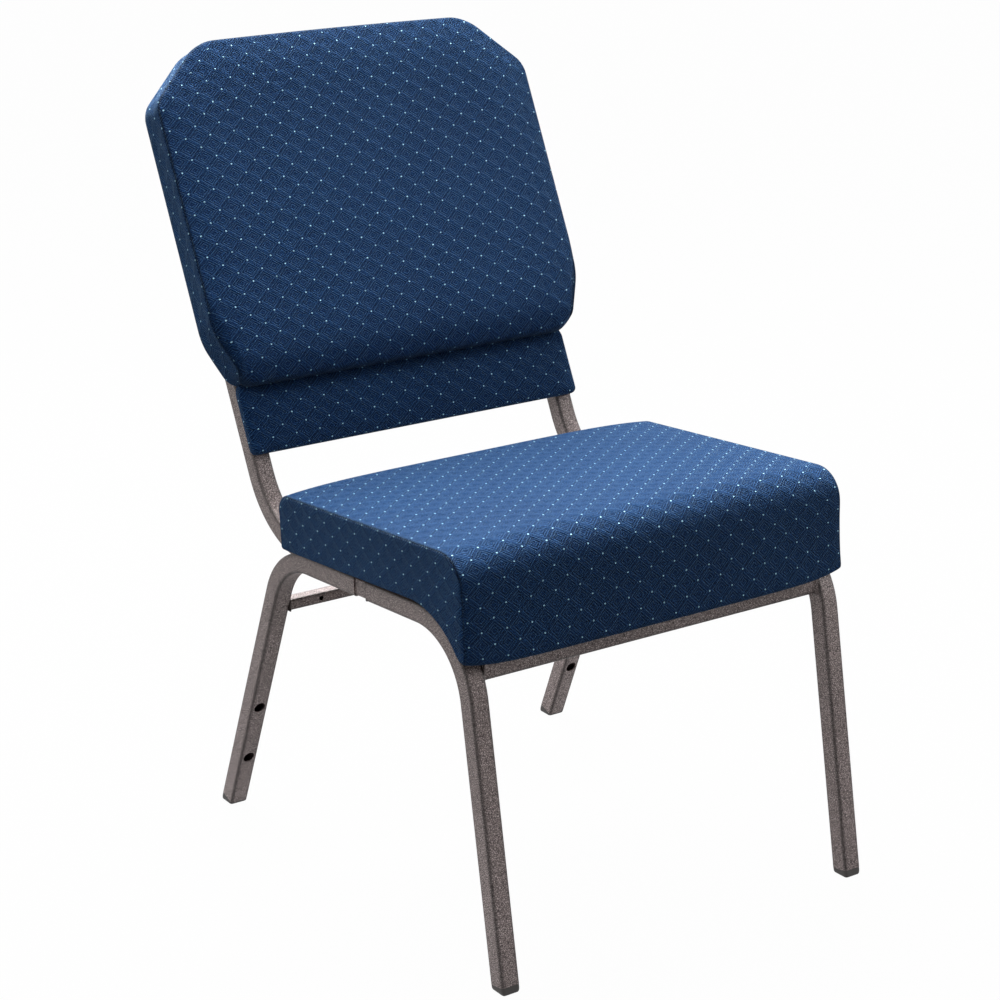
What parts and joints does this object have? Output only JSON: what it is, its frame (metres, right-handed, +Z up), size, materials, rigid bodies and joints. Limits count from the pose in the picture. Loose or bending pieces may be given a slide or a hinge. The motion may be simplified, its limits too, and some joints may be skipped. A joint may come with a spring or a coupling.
{
  "type": "stacking auditorium chair",
  "caption": "Armless stacking chair with bent square tube side frames, a waterfall seat cushion and a padded back with clipped corners and a lumbar pad.",
  "frame": {"origin": "floor level, at the middle of the chair's overall width and depth", "axes": "+Z up, +Y to the back of the chair, +X across it, to the right seen from the front"},
  "size_m": [0.5044, 0.7278, 0.8819],
  "materials": {
    "frame_coat": "brown-grey vein textured powder coat",
    "cover_fabric": "navy woven cover with small nested lozenges and pale dots, over foam",
    "plywood": "unfinished plywood",
    "black_plastic": "black moulded",
    "zinc_steel": "zinc plated"
  },
  "bodies": {
    "root": {"front_leg_left": "frame_coat", "rear_leg_left": "frame_coat", "rail_sleeve_left": "frame_coat", "back_upright_left": "frame_coat", "upright_plug_left": "black_plastic", "front_glide_left": "black_plastic", "rear_glide_left": "black_plastic", "front_leg_right": "frame_coat", "rear_leg_right": "frame_coat", "rail_sleeve_right": "frame_coat", "back_upright_right": "frame_coat", "upright_plug_right": "black_plastic", "front_glide_right": "black_plastic", "rear_glide_right": "black_plastic", "front_cross_rail": "frame_coat", "rear_cross_rail": "frame_coat", "seat_tabs": "frame_coat", "seat_spacers": "black_plastic", "seat_screws": "zinc_steel", "seat_tee_nuts": "zinc_steel", "seat_board": "plywood", "seat_cushion": "cover_fabric", "back_board": "plywood", "back_pad": "cover_fabric", "lumbar_pad": "cover_fabric", "back_panel": "cover_fabric", "back_screws": "zinc_steel", "back_tee_nuts": "zinc_steel"}
  },
  "joints": []
}
